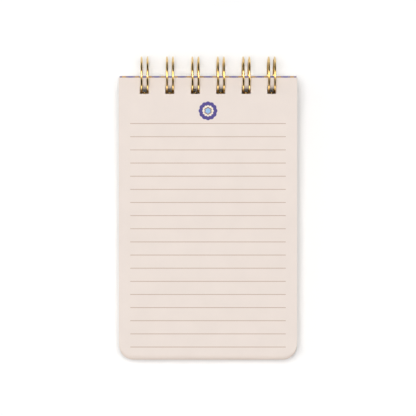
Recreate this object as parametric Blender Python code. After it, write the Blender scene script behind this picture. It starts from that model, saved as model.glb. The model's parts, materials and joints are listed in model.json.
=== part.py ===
"""Pocket notebook: a top-bound pad of ruled leaves between two covers, on a twin-loop wire.

Metres, +Z up. X runs across the page and +Y towards the binding. The pad rests with its page
up and its front cover folded round behind the back cover. The origin is at the middle of the
pad's footprint, on the surface that the wire rests on. Every leaf and the front cover turn
about one line, the axis of the wire's loops.
"""

import math

import bpy

# Page and punching
PAGE_WIDTH = 0.0889
PAGE_LENGTH = 0.1390
CORNER_RADIUS = 0.0070
CORNER_STEPS = 5
HOLE_PITCH = 0.0127
HOLE_COUNT = 6
HOLE_WIDTH = 0.0046
HOLE_LENGTH = 0.0044
HOLE_TO_EDGE = 0.0059

# Twin-loop wire
WIRE_DIAMETER = 0.0011
LOOP_RADIUS = 0.0091
LOOP_STEPS = 20
STRAND_SPACING = 0.0030
LOOP_LEAN = 0.00015
SPINE_BEND = 0.0009
SPINE_BEND_STEPS = 3
TIP_STEPS = 6
TIP_GAP = 0.0015
WIRE_END = 0.0025
CAP_SIDES = 2

# Heights above (+) and below (-) the axis of the loops
TOP_PAGE_HEIGHT = 0.0055
LEAF_COUNT = 48
LEAF_PITCH = 0.000185
LEAF_THICKNESS = 0.000115
SPINE_HEIGHT = -0.00425
BACK_COVER_HEIGHT = -0.00568
FRONT_COVER_HEIGHT = -0.00698
COVER_THICKNESS = 0.00115

# Leaves that turn together, from the top of the pad down
LEAF_GROUPS = (1, 1, 1, 1, 4, 8, 8, 8, 8, 8)

# The frame: the axis of the loops lies along X, where the footprint's middle is y = 0
AXIS_Z = LOOP_RADIUS + WIRE_DIAMETER / 2
AXIS_Y = (LOOP_RADIUS - HOLE_TO_EDGE + PAGE_LENGTH - AXIS_Z) / 2


def hole_reach(height):
    """Distance from the axis to the middle of the holes in a flat sheet at this height."""
    return math.sqrt(LOOP_RADIUS**2 - height**2)


def hole_centres():
    """X of the middle of each hole, and so of each double loop."""
    first = -HOLE_PITCH * (HOLE_COUNT - 1) / 2
    return [first + HOLE_PITCH * index for index in range(HOLE_COUNT)]


def clear_scene():
    for old in list(bpy.data.objects):
        bpy.data.objects.remove(old, do_unlink=True)


def new_collection(name):
    collection = bpy.data.collections.new(name)
    bpy.context.scene.collection.children.link(collection)
    return collection


def new_material(name, colour, roughness, metallic=0.0):
    material = bpy.data.materials.new(name)
    material.use_nodes = True
    shader = material.node_tree.nodes["Principled BSDF"]
    shader.inputs["Base Color"].default_value = (*colour, 1.0)
    shader.inputs["Roughness"].default_value = roughness
    shader.inputs["Metallic"].default_value = metallic
    return material


def sheet_outline():
    """The page outline about the middle of its row of holes: square at the binding, round below."""
    top = HOLE_TO_EDGE
    bottom = HOLE_TO_EDGE - PAGE_LENGTH
    half = PAGE_WIDTH / 2
    points = [(half, top), (-half, top)]
    for side, start in ((-1, math.pi), (1, 1.5 * math.pi)):
        centre_x = side * (half - CORNER_RADIUS)
        for step in range(CORNER_STEPS + 1):
            angle = start + 0.5 * math.pi * step / CORNER_STEPS
            x = centre_x + CORNER_RADIUS * math.cos(angle)
            y = bottom + CORNER_RADIUS + CORNER_RADIUS * math.sin(angle)
            points.append((x, y))
    return points


def hole_outline(centre_x):
    half_width = HOLE_WIDTH / 2
    half_length = HOLE_LENGTH / 2
    return [
        (centre_x - half_width, -half_length),
        (centre_x - half_width, half_length),
        (centre_x + half_width, half_length),
        (centre_x + half_width, -half_length),
    ]


def punched_sheet(name, thickness, material):
    """A flat sheet with its row of holes, as a filled 2D curve, centred on its own thickness."""
    curve = bpy.data.curves.new(name, "CURVE")
    curve.dimensions = "2D"
    curve.fill_mode = "BOTH"
    curve.extrude = thickness / 2
    outlines = [sheet_outline()] + [hole_outline(x) for x in hole_centres()]
    for outline in outlines:
        spline = curve.splines.new("POLY")
        spline.points.add(len(outline) - 1)
        for point, (x, y) in zip(spline.points, outline):
            point.co = (x, y, 0.0, 1.0)
        spline.use_cyclic_u = True
    curve.materials.append(material)
    return curve


def place_sheet(name, curve, axis, height, collection):
    """Hangs a sheet on its axis empty, with its holes on the circle of the loops."""
    sheet = bpy.data.objects.new(name, curve)
    sheet.parent = axis
    sheet.location = (0.0, -hole_reach(height), height)
    collection.objects.link(sheet)


def axis_empty(name, collection):
    """An empty on the axis of the loops, which carries the sheets that turn together."""
    empty = bpy.data.objects.new(name, None)
    empty.empty_display_size = HOLE_PITCH
    empty.location = (0.0, AXIS_Y, AXIS_Z)
    collection.objects.link(empty)
    return empty


def double_loop(centre_x):
    """One double loop unrolled: (x, distance round the circle from the spine)."""
    half = STRAND_SPACING / 2
    round_loop = 2 * math.pi * LOOP_RADIUS
    tip = round_loop - TIP_GAP - half
    points = []
    for step in range(SPINE_BEND_STEPS):
        angle = 0.5 * math.pi * step / SPINE_BEND_STEPS
        x = centre_x - half - SPINE_BEND + SPINE_BEND * math.sin(angle)
        points.append((x, SPINE_BEND * (1 - math.cos(angle))))
    for step in range(LOOP_STEPS):
        points.append((centre_x - half, SPINE_BEND + (tip - SPINE_BEND) * step / LOOP_STEPS))
    for step in range(TIP_STEPS // 2):
        angle = math.pi * step / TIP_STEPS
        points.append((centre_x - half * math.cos(angle), tip + half * math.sin(angle)))
    mirrored = [(2 * centre_x - x, distance) for x, distance in reversed(points)]
    return points + [(centre_x, tip + half)] + mirrored


def binding_wire(collection):
    """One wire: a straight spine that leaves for a double loop at every hole."""
    centres = hole_centres()
    reach = STRAND_SPACING / 2 + SPINE_BEND + WIRE_END
    unrolled = [(centres[0] - reach, 0.0)]
    for centre_x in centres:
        unrolled += double_loop(centre_x)
    unrolled.append((centres[-1] + reach, 0.0))

    spine_angle = math.pi - math.asin(SPINE_HEIGHT / LOOP_RADIUS)
    curve = bpy.data.curves.new("binding_wire", "CURVE")
    curve.dimensions = "3D"
    curve.bevel_depth = WIRE_DIAMETER / 2
    curve.bevel_resolution = CAP_SIDES
    curve.use_fill_caps = True
    spline = curve.splines.new("POLY")
    spline.points.add(len(unrolled) - 1)
    for point, (x, distance) in zip(spline.points, unrolled):
        angle = spine_angle + distance / LOOP_RADIUS
        lean = LOOP_LEAN * math.sin(angle)
        y = LOOP_RADIUS * math.cos(angle)
        z = LOOP_RADIUS * math.sin(angle)
        point.co = (x + lean, y, z, 1.0)
    spline.use_smooth = True
    curve.materials.append(new_material("gold_wire", (0.80, 0.58, 0.30), 0.25, 1.0))
    wire = bpy.data.objects.new("binding_wire", curve)
    wire.location = (0.0, AXIS_Y, AXIS_Z)
    collection.objects.link(wire)


def covers(collection):
    card = new_material("printed_card", (0.10, 0.07, 0.30), 0.45)
    curve = punched_sheet("cover_card", COVER_THICKNESS, card)
    back_axis = axis_empty("back_cover_axis", collection)
    place_sheet("back_cover", curve, back_axis, BACK_COVER_HEIGHT, collection)
    front_axis = axis_empty("front_cover_axis", collection)
    place_sheet("front_cover", curve, front_axis, FRONT_COVER_HEIGHT, collection)


def leaves(collection):
    paper = new_material("cream_paper", (0.84, 0.75, 0.68), 0.85)
    curve = punched_sheet("leaf_paper", LEAF_THICKNESS, paper)
    number = 0
    for group, count in enumerate(LEAF_GROUPS, start=1):
        axis = axis_empty(f"leaf_group_{group:02d}_axis", collection)
        for _ in range(count):
            height = TOP_PAGE_HEIGHT - LEAF_THICKNESS / 2 - LEAF_PITCH * number
            number += 1
            place_sheet(f"leaf_{number:02d}", curve, axis, height, collection)
    if number != LEAF_COUNT:
        raise ValueError("the groups of leaves don't add up to the pad")


clear_scene()
notebook = new_collection("pocket_notebook")
binding_wire(notebook)
covers(notebook)
leaves(notebook)
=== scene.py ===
"""Pocket notebook, finished look: paper leaves, printed board covers and a gold twin-loop wire.

Metres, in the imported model's frame. The wire, each cover and each leaf take the place of one CAD
node and ride on its body. The ruled lines and the ornaments ride with the leaf that they lie on.
"""

import json
import math
import random

import bpy
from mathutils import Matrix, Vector, noise


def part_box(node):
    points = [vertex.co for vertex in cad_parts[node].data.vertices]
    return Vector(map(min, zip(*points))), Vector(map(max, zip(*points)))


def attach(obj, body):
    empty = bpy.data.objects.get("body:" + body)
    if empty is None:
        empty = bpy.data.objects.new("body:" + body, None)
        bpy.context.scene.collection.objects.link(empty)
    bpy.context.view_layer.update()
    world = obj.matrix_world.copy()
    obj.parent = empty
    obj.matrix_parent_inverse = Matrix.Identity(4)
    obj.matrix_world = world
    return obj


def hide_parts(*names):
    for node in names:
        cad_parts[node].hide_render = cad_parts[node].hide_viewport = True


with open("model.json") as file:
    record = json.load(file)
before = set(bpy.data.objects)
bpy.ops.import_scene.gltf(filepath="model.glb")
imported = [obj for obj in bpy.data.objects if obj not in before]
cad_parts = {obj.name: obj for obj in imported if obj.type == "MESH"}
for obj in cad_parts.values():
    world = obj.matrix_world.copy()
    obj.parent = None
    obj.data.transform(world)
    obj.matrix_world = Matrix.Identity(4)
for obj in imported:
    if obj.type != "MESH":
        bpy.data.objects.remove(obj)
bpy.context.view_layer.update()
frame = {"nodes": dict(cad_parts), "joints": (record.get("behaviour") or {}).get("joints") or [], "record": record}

# What the frame gives: the axis of the loops, the sheets' size and where they stand
AXIS = Vector(frame["joints"][0]["pos_m"])
BOXES = {name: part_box(name) for name in frame["nodes"]}
LEAF_NAMES = sorted(name for name in BOXES if name.startswith("leaf_"))
PAGE_LOW, PAGE_HIGH = BOXES[LEAF_NAMES[0]]
PAGE_WIDTH = PAGE_HIGH.x - PAGE_LOW.x
PAGE_TOP_Z = PAGE_HIGH.z

# Punching and trimming, as in the CAD model
HOLE_COUNT = 6
HOLE_PITCH = 0.0127
HOLE_WIDTH = 0.0046
HOLE_LENGTH = 0.0044
HOLE_TO_EDGE = 0.0059
CORNER_RADIUS = 0.0070
CORNER_STEPS = 9

# Rows of faces in a sheet's mesh: the one with the holes, and how many from there to the ruling
HOLE_ROW = 1
HEAD_ROWS = 6

# The wire, as in the CAD model but round. The loops lean to the right towards their tops, by
# LEAN_LEFT in the leftmost loop and LEAN_RIGHT in the rightmost
WIRE_DIAMETER = 0.0011
LOOP_RADIUS = AXIS.z - WIRE_DIAMETER / 2
LOOP_STEPS = 72
STRAND_SPACING = 0.0030
LEAN_LEFT = 0.00024
LEAN_RIGHT = 0.00010
SPINE_HEIGHT = -0.00425
SPINE_BEND = 0.0009
SPINE_BEND_STEPS = 6
TIP_STEPS = 14
TIP_GAP = 0.0015
WIRE_END = 0.0025
WIRE_RINGS = 6

# How the leaves lie: they sag from the wire nearly onto the back cover, each with a ripple of its
# own, and below the top one they are pushed sideways and trimmed by a little at random
SAG = 0.00172
SAG_START = 0.010
SAG_LENGTH = 0.055
TRIM = 0.00018
SHIFT = 0.00010
RIPPLE = 0.00002
RIPPLES_ACROSS = 20
RIPPLES_DOWN = 16
RIPPLE_STEP = 3.7

# The worn edges of the covers
COVER_EDGE = 0.00022
COVER_EDGE_SEGMENTS = 3
COVER_EDGE_ANGLE = math.radians(60)

# Ruling and ornament on a page
RULE_COUNT = 18
RULE_FIRST = 0.02284
RULE_PITCH = 0.00655
RULE_WIDTH = 0.00030
RULE_HALF = PAGE_WIDTH / 2 - 0.0057
RULE_INSET = 0.0005
INK_RELIEF = 0.000012
FILM_SHARE = 0.9
ORNAMENT_DROP = 0.0165
ORNAMENT_RADIUS = 0.0047
PETAL_STEPS = 8

# Lattice printed on the covers: cells, lozenges in their middles and outlines round them
LATTICE_WIDTH = 0.0065
LATTICE_LENGTH = 0.0110
LATTICE_PHASE = 0.60
LOZENGE_REACH = 0.26
OUTLINE_REACH = 0.36
OUTLINE_HALF = 0.018

# Every run draws the same leaves
random.seed(11)


def body_of_node(node):
    """The body that a CAD node belongs to, by the record in the frame."""
    for body, nodes in frame["record"]["behaviour"]["bodies"].items():
        if node in nodes:
            return body
    raise ValueError(node)


def srgb(red, green, blue):
    """Linear colour of an 8-bit sRGB one."""
    def linear(value):
        value /= 255
        return value / 12.92 if value <= 0.04045 else ((value + 0.055) / 1.055) ** 2.4
    return (linear(red), linear(green), linear(blue), 1.0)


# ---------------------------------------------------------------- materials

class Graph:
    """A material's nodes, added and linked in a few words."""

    def __init__(self, name):
        self.material = bpy.data.materials.new(name)
        self.material.use_nodes = True
        self.tree = self.material.node_tree
        self.shader = self.tree.nodes["Principled BSDF"]

    def node(self, kind, **settings):
        made = self.tree.nodes.new(kind)
        for key, value in settings.items():
            setattr(made, key, value)
        return made

    def link(self, source, target):
        self.tree.links.new(source, target)

    def set(self, **values):
        for key, value in values.items():
            self.shader.inputs[key.replace("_", " ")].default_value = value

    def position(self):
        """The point on the surface, in metres from the piece's origin."""
        return self.node("ShaderNodeTexCoord").outputs["Object"]

    def noise(self, scale, detail=3.0, stretch=(1, 1, 1)):
        mapping = self.node("ShaderNodeMapping")
        mapping.inputs["Scale"].default_value = stretch
        self.link(self.position(), mapping.inputs["Vector"])
        texture = self.node("ShaderNodeTexNoise")
        texture.inputs["Scale"].default_value = scale
        texture.inputs["Detail"].default_value = detail
        self.link(mapping.outputs["Vector"], texture.inputs["Vector"])
        return texture.outputs["Fac"]

    def ramp(self, value, low, high, low_colour, high_colour):
        """A colour that goes from one to the other as value goes from low to high."""
        ramp = self.node("ShaderNodeValToRGB")
        ramp.color_ramp.elements[0].position = low
        ramp.color_ramp.elements[0].color = low_colour
        ramp.color_ramp.elements[1].position = high
        ramp.color_ramp.elements[1].color = high_colour
        self.link(value, ramp.inputs["Fac"])
        return ramp.outputs["Color"]

    def remap(self, value, low, high):
        """A value from 0 to 1, spread from low to high."""
        span = self.node("ShaderNodeMapRange")
        span.inputs["To Min"].default_value = low
        span.inputs["To Max"].default_value = high
        self.link(value, span.inputs["Value"])
        return span.outputs["Result"]

    def math(self, operation, *values):
        made = self.node("ShaderNodeMath", operation=operation)
        for socket, value in zip(made.inputs, values):
            if isinstance(value, float):
                socket.default_value = value
            else:
                self.link(value, socket)
        return made.outputs["Value"]

    def cell(self, coordinate, size, phase):
        """Distance from the middle of the cell that the point is in, as a share of its size."""
        scaled = self.math("MULTIPLY_ADD", coordinate, 1 / size, phase)
        return self.math("ABSOLUTE", self.math("SUBTRACT", self.math("FRACT", scaled), 0.5))

    def bump(self, height, strength, distance):
        made = self.node("ShaderNodeBump")
        made.inputs["Strength"].default_value = strength
        made.inputs["Distance"].default_value = distance
        self.link(height, made.inputs["Height"])
        self.link(made.outputs["Normal"], self.shader.inputs["Normal"])


def shade(colour, factor):
    """The colour made lighter or darker by a factor."""
    return tuple(min(1.0, part * factor) for part in colour[:3]) + (1.0,)


def paper_material():
    """Uncoated writing paper: a faint cloudy tone and a fine felt-marked tooth."""
    graph = Graph("leaf_paper")
    graph.set(Roughness=0.86, Specular_IOR_Level=0.25)
    cloud = graph.noise(scale=90, detail=5.0)
    tone = graph.ramp(cloud, 0.3, 0.7, shade(PAPER, 0.985), shade(PAPER, 1.015))
    graph.link(tone, graph.shader.inputs["Base Color"])
    tooth = graph.noise(scale=4200, detail=4.0, stretch=(1, 0.6, 1))
    graph.bump(tooth, strength=0.12, distance=0.00004)
    return graph.material


def liner_material():
    """Unprinted card inside the covers: cloudy, with scattered fibres a shade darker."""
    graph = Graph("liner_paper")
    graph.set(Roughness=0.84, Specular_IOR_Level=0.25)
    blotch = graph.noise(scale=60, detail=5.0)
    cloud = graph.ramp(blotch, 0.3, 0.7, srgb(227, 215, 199), srgb(234, 223, 208))
    fibres = graph.noise(scale=2300, detail=2.0, stretch=(1.0, 0.25, 1.0))
    shading = graph.ramp(fibres, 0.60, 0.75, (1.0, 1.0, 1.0, 1.0), srgb(238, 231, 220))
    mix = graph.node("ShaderNodeMix", data_type="RGBA", blend_type="MULTIPLY")
    mix.inputs["Factor"].default_value = 1.0
    graph.link(cloud, mix.inputs["A"])
    graph.link(shading, mix.inputs["B"])
    graph.link(mix.outputs["Result"], graph.shader.inputs["Base Color"])
    graph.bump(graph.noise(scale=3600, detail=4.0), strength=0.2, distance=0.00004)
    return graph.material


def cut_edge_material():
    """The trimmed sides of the leaves: bands of slightly different tone at random, with a tan cast, darker than
    the face at its low end, that is painted shade between the sheets.
    """
    graph = Graph("leaf_cut_edge_with_painted_shade")
    graph.set(Roughness=0.9, Specular_IOR_Level=0.2)
    sheets = graph.noise(scale=1500, detail=4.0, stretch=(0.03, 0.03, 1.0))
    # Painted shade: the tan edge tones stand for the shade between the stacked sheets, on top of a random banding
    tone = graph.ramp(sheets, 0.30, 0.70, srgb(228, 204, 182), srgb(255, 237, 217))
    graph.link(tone, graph.shader.inputs["Base Color"])
    graph.bump(graph.noise(scale=5200), strength=0.3, distance=0.00004)
    return graph.material


def ink_material(name, colour):
    """Printing ink, laid on a little unevenly."""
    graph = Graph(name)
    graph.set(Roughness=0.7, Specular_IOR_Level=0.3)
    density = graph.noise(scale=2600)
    tone = graph.ramp(density, 0.25, 0.75, shade(colour, 0.93), shade(colour, 1.07))
    graph.link(tone, graph.shader.inputs["Base Color"])
    return graph.material


def gold_wire_material():
    """Gold-plated wire: a blotchy tone and gloss, and a very fine roughness, under a clear coat."""
    graph = Graph("gold_wire")
    graph.set(Metallic=1.0, Coat_Weight=1.0, Coat_Roughness=0.04, Coat_IOR=2.0)
    blotch = graph.noise(scale=500, detail=4.0)
    tone = graph.ramp(blotch, 0.3, 0.75, srgb(214, 172, 76), srgb(232, 192, 98))
    graph.link(tone, graph.shader.inputs["Base Color"])
    rough = graph.remap(graph.noise(scale=1500), 0.04, 0.11)
    graph.link(rough, graph.shader.inputs["Roughness"])
    graph.bump(graph.noise(scale=9000, detail=2.0), strength=0.05, distance=0.00002)
    return graph.material


def printed_face_material():
    """The outside of a cover: purple print with a gold foil lattice of lozenges."""
    graph = Graph("printed_face")
    split = graph.node("ShaderNodeSeparateXYZ")
    graph.link(graph.position(), split.inputs["Vector"])
    across = graph.cell(split.outputs["X"], LATTICE_WIDTH, 0.0)
    along = graph.cell(split.outputs["Y"], LATTICE_LENGTH, LATTICE_PHASE)
    reach = graph.math("ADD", across, along)
    lozenge = graph.math("LESS_THAN", reach, LOZENGE_REACH)
    outline = graph.math("COMPARE", reach, OUTLINE_REACH, OUTLINE_HALF)
    foil = graph.math("MAXIMUM", lozenge, outline)
    purple = graph.ramp(graph.noise(scale=700), 0.3, 0.7, srgb(78, 66, 138), srgb(88, 76, 152))
    gold = graph.ramp(graph.noise(scale=900), 0.3, 0.7, srgb(166, 128, 70), srgb(184, 144, 82))
    mix = graph.node("ShaderNodeMix", data_type="RGBA")
    graph.link(foil, mix.inputs["Factor"])
    graph.link(purple, mix.inputs["A"])
    graph.link(gold, mix.inputs["B"])
    graph.link(mix.outputs["Result"], graph.shader.inputs["Base Color"])
    graph.link(graph.remap(foil, 0.0, 0.15), graph.shader.inputs["Metallic"])
    graph.link(graph.remap(foil, 0.40, 0.46), graph.shader.inputs["Roughness"])
    relief = graph.math("MULTIPLY_ADD", graph.noise(scale=3000, detail=2.0), 0.3, foil)
    graph.bump(relief, strength=0.25, distance=0.00003)
    return graph.material


def core_material():
    """The cut edge of the pressed board: warm grey plies."""
    graph = Graph("board_core")
    graph.set(Roughness=0.9, Specular_IOR_Level=0.2)
    plies = graph.noise(scale=2600, detail=4.0, stretch=(0.15, 0.15, 3.0))
    tone = graph.ramp(plies, 0.25, 0.75, srgb(176, 160, 143), srgb(214, 201, 184))
    graph.link(tone, graph.shader.inputs["Base Color"])
    graph.bump(graph.noise(scale=5200), strength=0.4, distance=0.00005)
    return graph.material


PAPER = srgb(229, 217, 209)
leaf_face = paper_material()
leaf_edge = cut_edge_material()
rule_ink = ink_material("rule_ink", srgb(186, 158, 138))
purple_ink = ink_material("purple_ink", srgb(84, 74, 140))
blue_ink = ink_material("light_blue_ink", srgb(150, 186, 222))
cream_ink = ink_material("cream_ink", srgb(238, 226, 208))
brown_ink = ink_material("brown_ink", srgb(140, 104, 100))
gold_wire = gold_wire_material()
printed_face = printed_face_material()
liner_face = liner_material()
board_core = core_material()


# Layers of the ornament: share of its radius, petals, depth of the scallops, ink
ORNAMENT_LAYERS = (
    (1.00, 12, 0.09, purple_ink),
    (0.62, 12, 0.10, cream_ink),
    (0.42, 6, 0.08, brown_ink),
    (0.32, 6, 0.10, blue_ink),
)


# ---------------------------------------------------------------- sheets

def link_mesh(name, vertices, faces, materials):
    """A mesh object in the scene, with these materials in this order."""
    mesh = bpy.data.meshes.new(name)
    mesh.from_pydata(vertices, [], faces)
    for material in materials:
        mesh.materials.append(material)
    piece = bpy.data.objects.new(name, mesh)
    bpy.context.scene.collection.objects.link(piece)
    return piece


def solidify(piece, thickness, rim, other_side=0):
    """Gives an open sheet half of its thickness to each side. rim and other_side are how many
    places down the list of materials the cut edge and the underside have theirs."""
    made = piece.modifiers.new("thickness", "SOLIDIFY")
    made.thickness = thickness
    made.offset = 0.0
    made.material_offset = other_side
    made.material_offset_rim = rim


def hole_centres():
    """X of the middles of the punched holes, from left to right."""
    first = -HOLE_PITCH * (HOLE_COUNT - 1) / 2
    return [first + HOLE_PITCH * index for index in range(HOLE_COUNT)]


def rule_edges():
    """Distances from the top edge to the upper and the lower side of every ruled line."""
    middles = [RULE_FIRST + RULE_PITCH * line for line in range(RULE_COUNT)]
    return [(middle - RULE_WIDTH / 2, middle + RULE_WIDTH / 2) for middle in middles]


def sheet_columns(half_width):
    """X of the lines of a row: the sides, the ends of the ruled lines and the sides of the holes."""
    rule_end = min(RULE_HALF, half_width - RULE_INSET)
    columns = [-half_width, -rule_end]
    for centre in hole_centres():
        columns += [centre - HOLE_WIDTH / 2, centre + HOLE_WIDTH / 2]
    return columns + [rule_end, half_width]


def corner_loss(down, length):
    """Half-width that the round corners take away at this distance from the top edge."""
    into = down - (length - CORNER_RADIUS)
    if into <= 0:
        return 0.0
    return CORNER_RADIUS - math.sqrt(max(0.0, CORNER_RADIUS**2 - into**2))


def sheet_rows(length):
    """Distances from the top edge to each row: the holes, the bend, the ruled lines, the corners."""
    holes_end = HOLE_TO_EDGE + HOLE_LENGTH / 2
    rows = [0.0, holes_end - HOLE_LENGTH, holes_end]
    head = RULE_FIRST - RULE_WIDTH - holes_end
    rows += [holes_end + head * step / HEAD_ROWS for step in range(1, HEAD_ROWS)]
    for edges in rule_edges():
        rows += edges
    for step in range(CORNER_STEPS + 1):
        angle = 0.5 * math.pi * step / CORNER_STEPS
        rows.append(length - CORNER_RADIUS * (1 - math.sin(angle)))
    return sorted(rows)


def punched_sheet(name, low, high, drop, materials, shift=0.0, trim=0.0):
    """An open punched sheet in the middle of its CAD node's box. drop(x, distance down) bends it."""
    half_width = (high.x - low.x) / 2 - trim
    length = high.y - low.y - trim
    middle_z = (low.z + high.z) / 2
    rows = sheet_rows(length)
    vertices = []
    for down in rows:
        for x in sheet_columns(half_width - corner_loss(down, length)):
            vertices.append((x + shift, high.y - down, middle_z + drop(x, down)))
    count = 2 * HOLE_COUNT + 4
    faces = []
    for row in range(len(rows) - 1):
        for column in range(count - 1):
            in_hole = row == HOLE_ROW and column % 2 == 0 and 0 < column < count - 2
            if not in_hole:
                corner = row * count + column
                faces.append((corner, corner + count, corner + count + 1, corner + 1))
    return link_mesh(name, vertices, faces, materials)


def smooth_step(value):
    """0 up to 0, 1 from 1 on, and a soft rise between."""
    value = min(1.0, max(0.0, value))
    return value * value * (3 - 2 * value)


def leaf_drop(number):
    """How leaf number bends: the sag that all share and a ripple of its own."""
    def drop(x, down):
        sag = SAG * smooth_step((down - SAG_START) / SAG_LENGTH)
        place = Vector((x * RIPPLES_ACROSS, down * RIPPLES_DOWN, number * RIPPLE_STEP))
        ripple = RIPPLE * noise.noise(place)
        return ripple * smooth_step(down / SAG_START) - sag
    return drop


def make_leaf(number, name, body):
    """A leaf in its CAD node's place. The top one is neither pushed sideways nor trimmed."""
    low, high = BOXES[name]
    on_top = number == 1
    shift = 0.0 if on_top else random.uniform(-SHIFT, SHIFT)
    extra_trim = random.uniform(0.0, TRIM)
    trim = 0.0 if on_top else abs(shift) + extra_trim
    drop = leaf_drop(number)
    materials = [leaf_face, leaf_edge]
    leaf = punched_sheet(f"{name}_sheet", low, high, drop, materials, shift, trim)
    solidify(leaf, high.z - low.z, rim=1)
    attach(leaf, body)
    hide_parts(name)


def no_drop(x, down):
    """How a cover bends: not at all."""
    return 0.0


def make_cover(name, body, upper_face, lower_face):
    """A cover board with worn edges. The two faces are its materials as it lies at rest."""
    low, high = BOXES[name]
    materials = [upper_face, lower_face, board_core]
    cover = punched_sheet(f"{name}_board", low, high, no_drop, materials)
    solidify(cover, high.z - low.z, rim=2, other_side=1)
    edge = cover.modifiers.new("worn_edges", "BEVEL")
    edge.width = COVER_EDGE
    edge.segments = COVER_EDGE_SEGMENTS
    edge.limit_method = "ANGLE"
    edge.angle_limit = COVER_EDGE_ANGLE
    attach(cover, body)
    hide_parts(name)


# ---------------------------------------------------------------- print

def page_point(leaf_name, number, x, down, lift):
    """A point that lies this far above (or, below zero, under) a leaf's own surface."""
    low, high = BOXES[leaf_name]
    half = (high.z - low.z) / 2
    face_z = (low.z + high.z) / 2 + math.copysign(half, lift) + lift
    return (x, high.y - down, face_z + leaf_drop(number)(x, down))


def ink_strips(leaf_name, number, lift):
    """The ruled lines of one side of a leaf, on its sheet's rows, and on its columns as they are
    before the push sideways."""
    vertices = []
    faces = []
    for upper, lower in rule_edges():
        start = len(vertices)
        columns = sheet_columns(PAGE_WIDTH / 2)[1:-1]
        for x in columns:
            vertices.append(page_point(leaf_name, number, x, upper, lift))
            vertices.append(page_point(leaf_name, number, x, lower, lift))
        for step in range(len(columns) - 1):
            corner = start + 2 * step
            faces.append((corner, corner + 1, corner + 3, corner + 2))
    return vertices, faces


def flower_outline(radius, petals, depth):
    """A scalloped outline: petals round lobes, each rising by depth from the notches between."""
    count = petals * PETAL_STEPS
    points = []
    for step in range(count):
        angle = 2 * math.pi * step / count
        lobe = abs(math.cos(petals * angle / 2))
        reach = radius - depth * (1 - lobe)
        points.append((reach * math.sin(angle), reach * math.cos(angle)))
    return points


def make_ruling(leaf_name, number, side):
    """The ruled lines on a leaf's front, where side is 1, or on its back, where it is -1."""
    name = f"{leaf_name}_ruling_{'front' if side > 0 else 'back'}"
    vertices, faces = ink_strips(leaf_name, number, side * INK_RELIEF)
    ruling = link_mesh(name, vertices, faces, [rule_ink])
    solidify(ruling, INK_RELIEF, rim=0)
    finish_print(ruling, leaf_name)


def make_ornament(leaf_name, number):
    """A round rosette at the head of the page: four flat films of ink, one on another."""
    materials = []
    vertices = []
    faces = []
    slots = []
    for layer, (share, petals, depth, material) in enumerate(ORNAMENT_LAYERS):
        materials.append(material)
        outline = flower_outline(ORNAMENT_RADIUS * share, petals, ORNAMENT_RADIUS * depth)
        lift = INK_RELIEF * (1 + layer)
        centre = len(vertices)
        vertices.append(page_point(leaf_name, number, 0.0, ORNAMENT_DROP, lift))
        for x, y in outline:
            vertices.append(page_point(leaf_name, number, x, ORNAMENT_DROP - y, lift))
        count = len(outline)
        for step in range(count):
            faces.append((centre, centre + 1 + (step + 1) % count, centre + 1 + step))
            slots.append(layer)
    ornament = link_mesh(f"{leaf_name}_ornament", vertices, faces, materials)
    for face, slot in zip(ornament.data.polygons, slots):
        face.material_index = slot
    solidify(ornament, INK_RELIEF * FILM_SHARE, rim=0)
    finish_print(ornament, leaf_name)


def finish_print(piece, leaf_name):
    """Print rides with its leaf and stands for no CAD node."""
    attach(piece, body_of_node(leaf_name))


# ---------------------------------------------------------------- wire

def double_loop(centre_x):
    """One double loop unrolled, as (x, distance round the circle from the spine)."""
    half = STRAND_SPACING / 2
    tip = 2 * math.pi * LOOP_RADIUS - TIP_GAP - half
    points = []
    for step in range(SPINE_BEND_STEPS):
        angle = 0.5 * math.pi * step / SPINE_BEND_STEPS
        x = centre_x - half - SPINE_BEND + SPINE_BEND * math.sin(angle)
        points.append((x, SPINE_BEND * (1 - math.cos(angle))))
    for step in range(LOOP_STEPS):
        points.append((centre_x - half, SPINE_BEND + (tip - SPINE_BEND) * step / LOOP_STEPS))
    for step in range(TIP_STEPS // 2):
        angle = math.pi * step / TIP_STEPS
        points.append((centre_x - half * math.cos(angle), tip + half * math.sin(angle)))
    mirrored = [(2 * centre_x - x, distance) for x, distance in reversed(points)]
    return points + [(centre_x, tip + half)] + mirrored


def make_wire():
    """All six double loops in one run of wire, rolled up round the axis of the loops."""
    centres = hole_centres()
    reach = STRAND_SPACING / 2 + SPINE_BEND + WIRE_END
    unrolled = [(centres[0] - reach, 0.0)]
    for centre_x in centres:
        unrolled += double_loop(centre_x)
    unrolled.append((centres[-1] + reach, 0.0))
    spine_angle = math.pi - math.asin(SPINE_HEIGHT / LOOP_RADIUS)
    curve = bpy.data.curves.new("twin_loop_wire", "CURVE")
    curve.dimensions = "3D"
    curve.bevel_depth = WIRE_DIAMETER / 2
    curve.bevel_resolution = WIRE_RINGS
    curve.use_fill_caps = True
    spline = curve.splines.new("POLY")
    spline.points.add(len(unrolled) - 1)
    for point, (x, distance) in zip(spline.points, unrolled):
        angle = spine_angle + distance / LOOP_RADIUS
        y = AXIS.y + LOOP_RADIUS * math.cos(angle)
        z = AXIS.z + LOOP_RADIUS * math.sin(angle)
        share = 0.5 + x / (HOLE_PITCH * (HOLE_COUNT - 1))
        lean = LEAN_LEFT + (LEAN_RIGHT - LEAN_LEFT) * share
        point.co = (x + lean * math.sin(angle), y, z, 1.0)
    spline.use_smooth = True
    curve.materials.append(gold_wire)
    wire = bpy.data.objects.new("twin_loop_wire", curve)
    bpy.context.scene.collection.objects.link(wire)
    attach(wire, body_of_node("binding_wire"))
    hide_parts("binding_wire")


# ---------------------------------------------------------------- stage

# The camera looks straight down on the frame's origin, and VIEW_WIDTH is what it takes in at the
# height of the top leaf
SENSOR_WIDTH = 36
CAMERA_HEIGHT = 1.2
VIEW_WIDTH = 0.2071

# The floor, and how its glow grows with the distance from the origin
FLOOR_REACH = 5.0
FLOOR_GAP = 0.00003
GLOW_START = 0.15
GLOW_END = 1.6
GLOW_STRENGTH = 0.8

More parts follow.
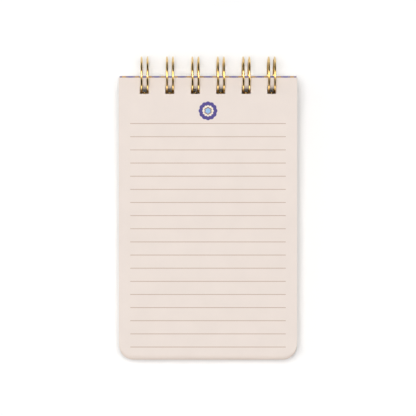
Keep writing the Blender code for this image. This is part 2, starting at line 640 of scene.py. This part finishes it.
# The surroundings: from the horizon's tone to the sky's, by the sine of the height above the
# horizon, and brighter to the left of the pad than to its right
HORIZON_SINE = 0.03
HORIZON_TONE = (0.9, 0.9, 0.9, 1)
SKY_SINE = 0.22
SKY_TONE = (0.01, 0.01, 0.01, 1)
SIDE_REACH = 0.6
LEFT_STRENGTH = 1.5
RIGHT_STRENGTH = 0.35

# Each softbox: name, place, width and height, watts
SOFTBOXES = (
    ("overhead_softbox", (-0.10, 0.28, 2.4), (1.6, 1.5), 55),
    ("left_softbox", (-1.3, 0.2, 0.8), (1.3, 1.6), 6),
    ("right_softbox", (1.4, -0.2, 0.5), (0.5, 1.6), 5),
    ("front_softbox", (0.0, -1.6, 0.35), (2.4, 0.5), 8),
)


def make_camera():
    camera = bpy.data.objects.new("camera", bpy.data.cameras.new("camera"))
    camera.data.sensor_width = SENSOR_WIDTH
    camera.data.lens = SENSOR_WIDTH * CAMERA_HEIGHT / VIEW_WIDTH
    camera.location = (0.0, 0.0, PAGE_TOP_Z + CAMERA_HEIGHT)
    bpy.context.scene.collection.objects.link(camera)
    bpy.context.scene.camera = camera


def area_light(name, location, size, power):
    """A rectangular light that faces the origin."""
    light = bpy.data.lights.new(name, "AREA")
    light.shape = "RECTANGLE"
    light.size, light.size_y = size
    light.energy = power
    lamp = bpy.data.objects.new(name, light)
    lamp.location = location
    aim = Vector((0.0, 0.0, 0.0)) - Vector(location)
    lamp.rotation_euler = aim.to_track_quat("-Z", "Y").to_euler()
    bpy.context.scene.collection.objects.link(lamp)


def make_world():
    """Studio surroundings: pale round the horizon, darker overhead, brighter on the left."""
    world = bpy.data.worlds.new("world")
    bpy.context.scene.world = world
    world.use_nodes = True
    tree = world.node_tree
    background = tree.nodes["Background"]
    coordinates = tree.nodes.new("ShaderNodeTexCoord")
    split = tree.nodes.new("ShaderNodeSeparateXYZ")
    ramp = tree.nodes.new("ShaderNodeValToRGB")
    ramp.color_ramp.elements[0].position = HORIZON_SINE
    ramp.color_ramp.elements[0].color = HORIZON_TONE
    ramp.color_ramp.elements[1].position = SKY_SINE
    ramp.color_ramp.elements[1].color = SKY_TONE
    side = tree.nodes.new("ShaderNodeMapRange")
    side.inputs["From Min"].default_value = -SIDE_REACH
    side.inputs["From Max"].default_value = SIDE_REACH
    side.inputs["To Min"].default_value = LEFT_STRENGTH
    side.inputs["To Max"].default_value = RIGHT_STRENGTH
    tree.links.new(coordinates.outputs["Generated"], split.inputs["Vector"])
    tree.links.new(split.outputs["X"], side.inputs["Value"])
    tree.links.new(split.outputs["Z"], ramp.inputs["Fac"])
    tree.links.new(ramp.outputs["Color"], background.inputs["Color"])
    tree.links.new(side.outputs["Result"], background.inputs["Strength"])


def floor_slope():
    """The pad stands on its loops and on the far edge of its lowest cover: the fall of the
    floor towards the loops, and a point of that edge."""
    low = BOXES["front_cover"][0]
    far_edge = Vector((0.0, low.y, low.z - FLOOR_GAP))
    rise = AXIS.z - far_edge.z
    fall = (LOOP_RADIUS + WIRE_DIAMETER / 2 + FLOOR_GAP - rise) / (AXIS.y - far_edge.y)
    return fall, far_edge


def floor_material():
    """Plain white paper. Away from the pad, where the lights don't reach, it glows to stay white."""
    graph = Graph("floor")
    graph.set(Roughness=0.9, Base_Color=(0.97, 0.97, 0.97, 1), Specular_IOR_Level=0.1)
    distance = graph.node("ShaderNodeVectorMath", operation="LENGTH")
    graph.link(graph.position(), distance.inputs[0])
    glow = graph.node("ShaderNodeMapRange")
    glow.inputs["From Min"].default_value = GLOW_START
    glow.inputs["From Max"].default_value = GLOW_END
    glow.inputs["To Max"].default_value = GLOW_STRENGTH
    graph.link(distance.outputs["Value"], glow.inputs["Value"])
    graph.set(Emission_Color=(1.0, 1.0, 1.0, 1))
    graph.link(glow.outputs["Result"], graph.shader.inputs["Emission Strength"])
    return graph.material


def make_stage():
    """The floor, the surroundings and the lights, with colours shown as they are."""
    slope, rest_edge = floor_slope()
    corners = [(-FLOOR_REACH, -FLOOR_REACH), (FLOOR_REACH, -FLOOR_REACH)]
    corners += [(FLOOR_REACH, FLOOR_REACH), (-FLOOR_REACH, FLOOR_REACH)]
    vertices = [(x, y, rest_edge.z - slope * (y - rest_edge.y)) for x, y in corners]
    floor = link_mesh("floor", vertices, [(0, 1, 2, 3)], [floor_material()])
    make_world()
    for name, location, size, power in SOFTBOXES:
        area_light(name, location, size, power)
    view = bpy.context.scene.view_settings
    view.view_transform = "Standard"
    view.look = "None"


# ---------------------------------------------------------------- build

make_wire()
# The front cover is folded right round to the back, so at rest its printed outside faces up
make_cover("back_cover", body_of_node("back_cover"), liner_face, printed_face)
make_cover("front_cover", body_of_node("front_cover"), printed_face, liner_face)
for number, leaf_name in enumerate(LEAF_NAMES, start=1):
    make_leaf(number, leaf_name, body_of_node(leaf_name))
# Only the front of a group's top leaf and the back of its lowest one can show at any pose
for nodes in frame["record"]["behaviour"]["bodies"].values():
    leaves = sorted(node for node in nodes if node in LEAF_NAMES)
    if leaves:
        top_number = LEAF_NAMES.index(leaves[0]) + 1
        make_ruling(leaves[0], top_number, 1)
        make_ornament(leaves[0], top_number)
        make_ruling(leaves[-1], LEAF_NAMES.index(leaves[-1]) + 1, -1)
make_camera()
make_stage()

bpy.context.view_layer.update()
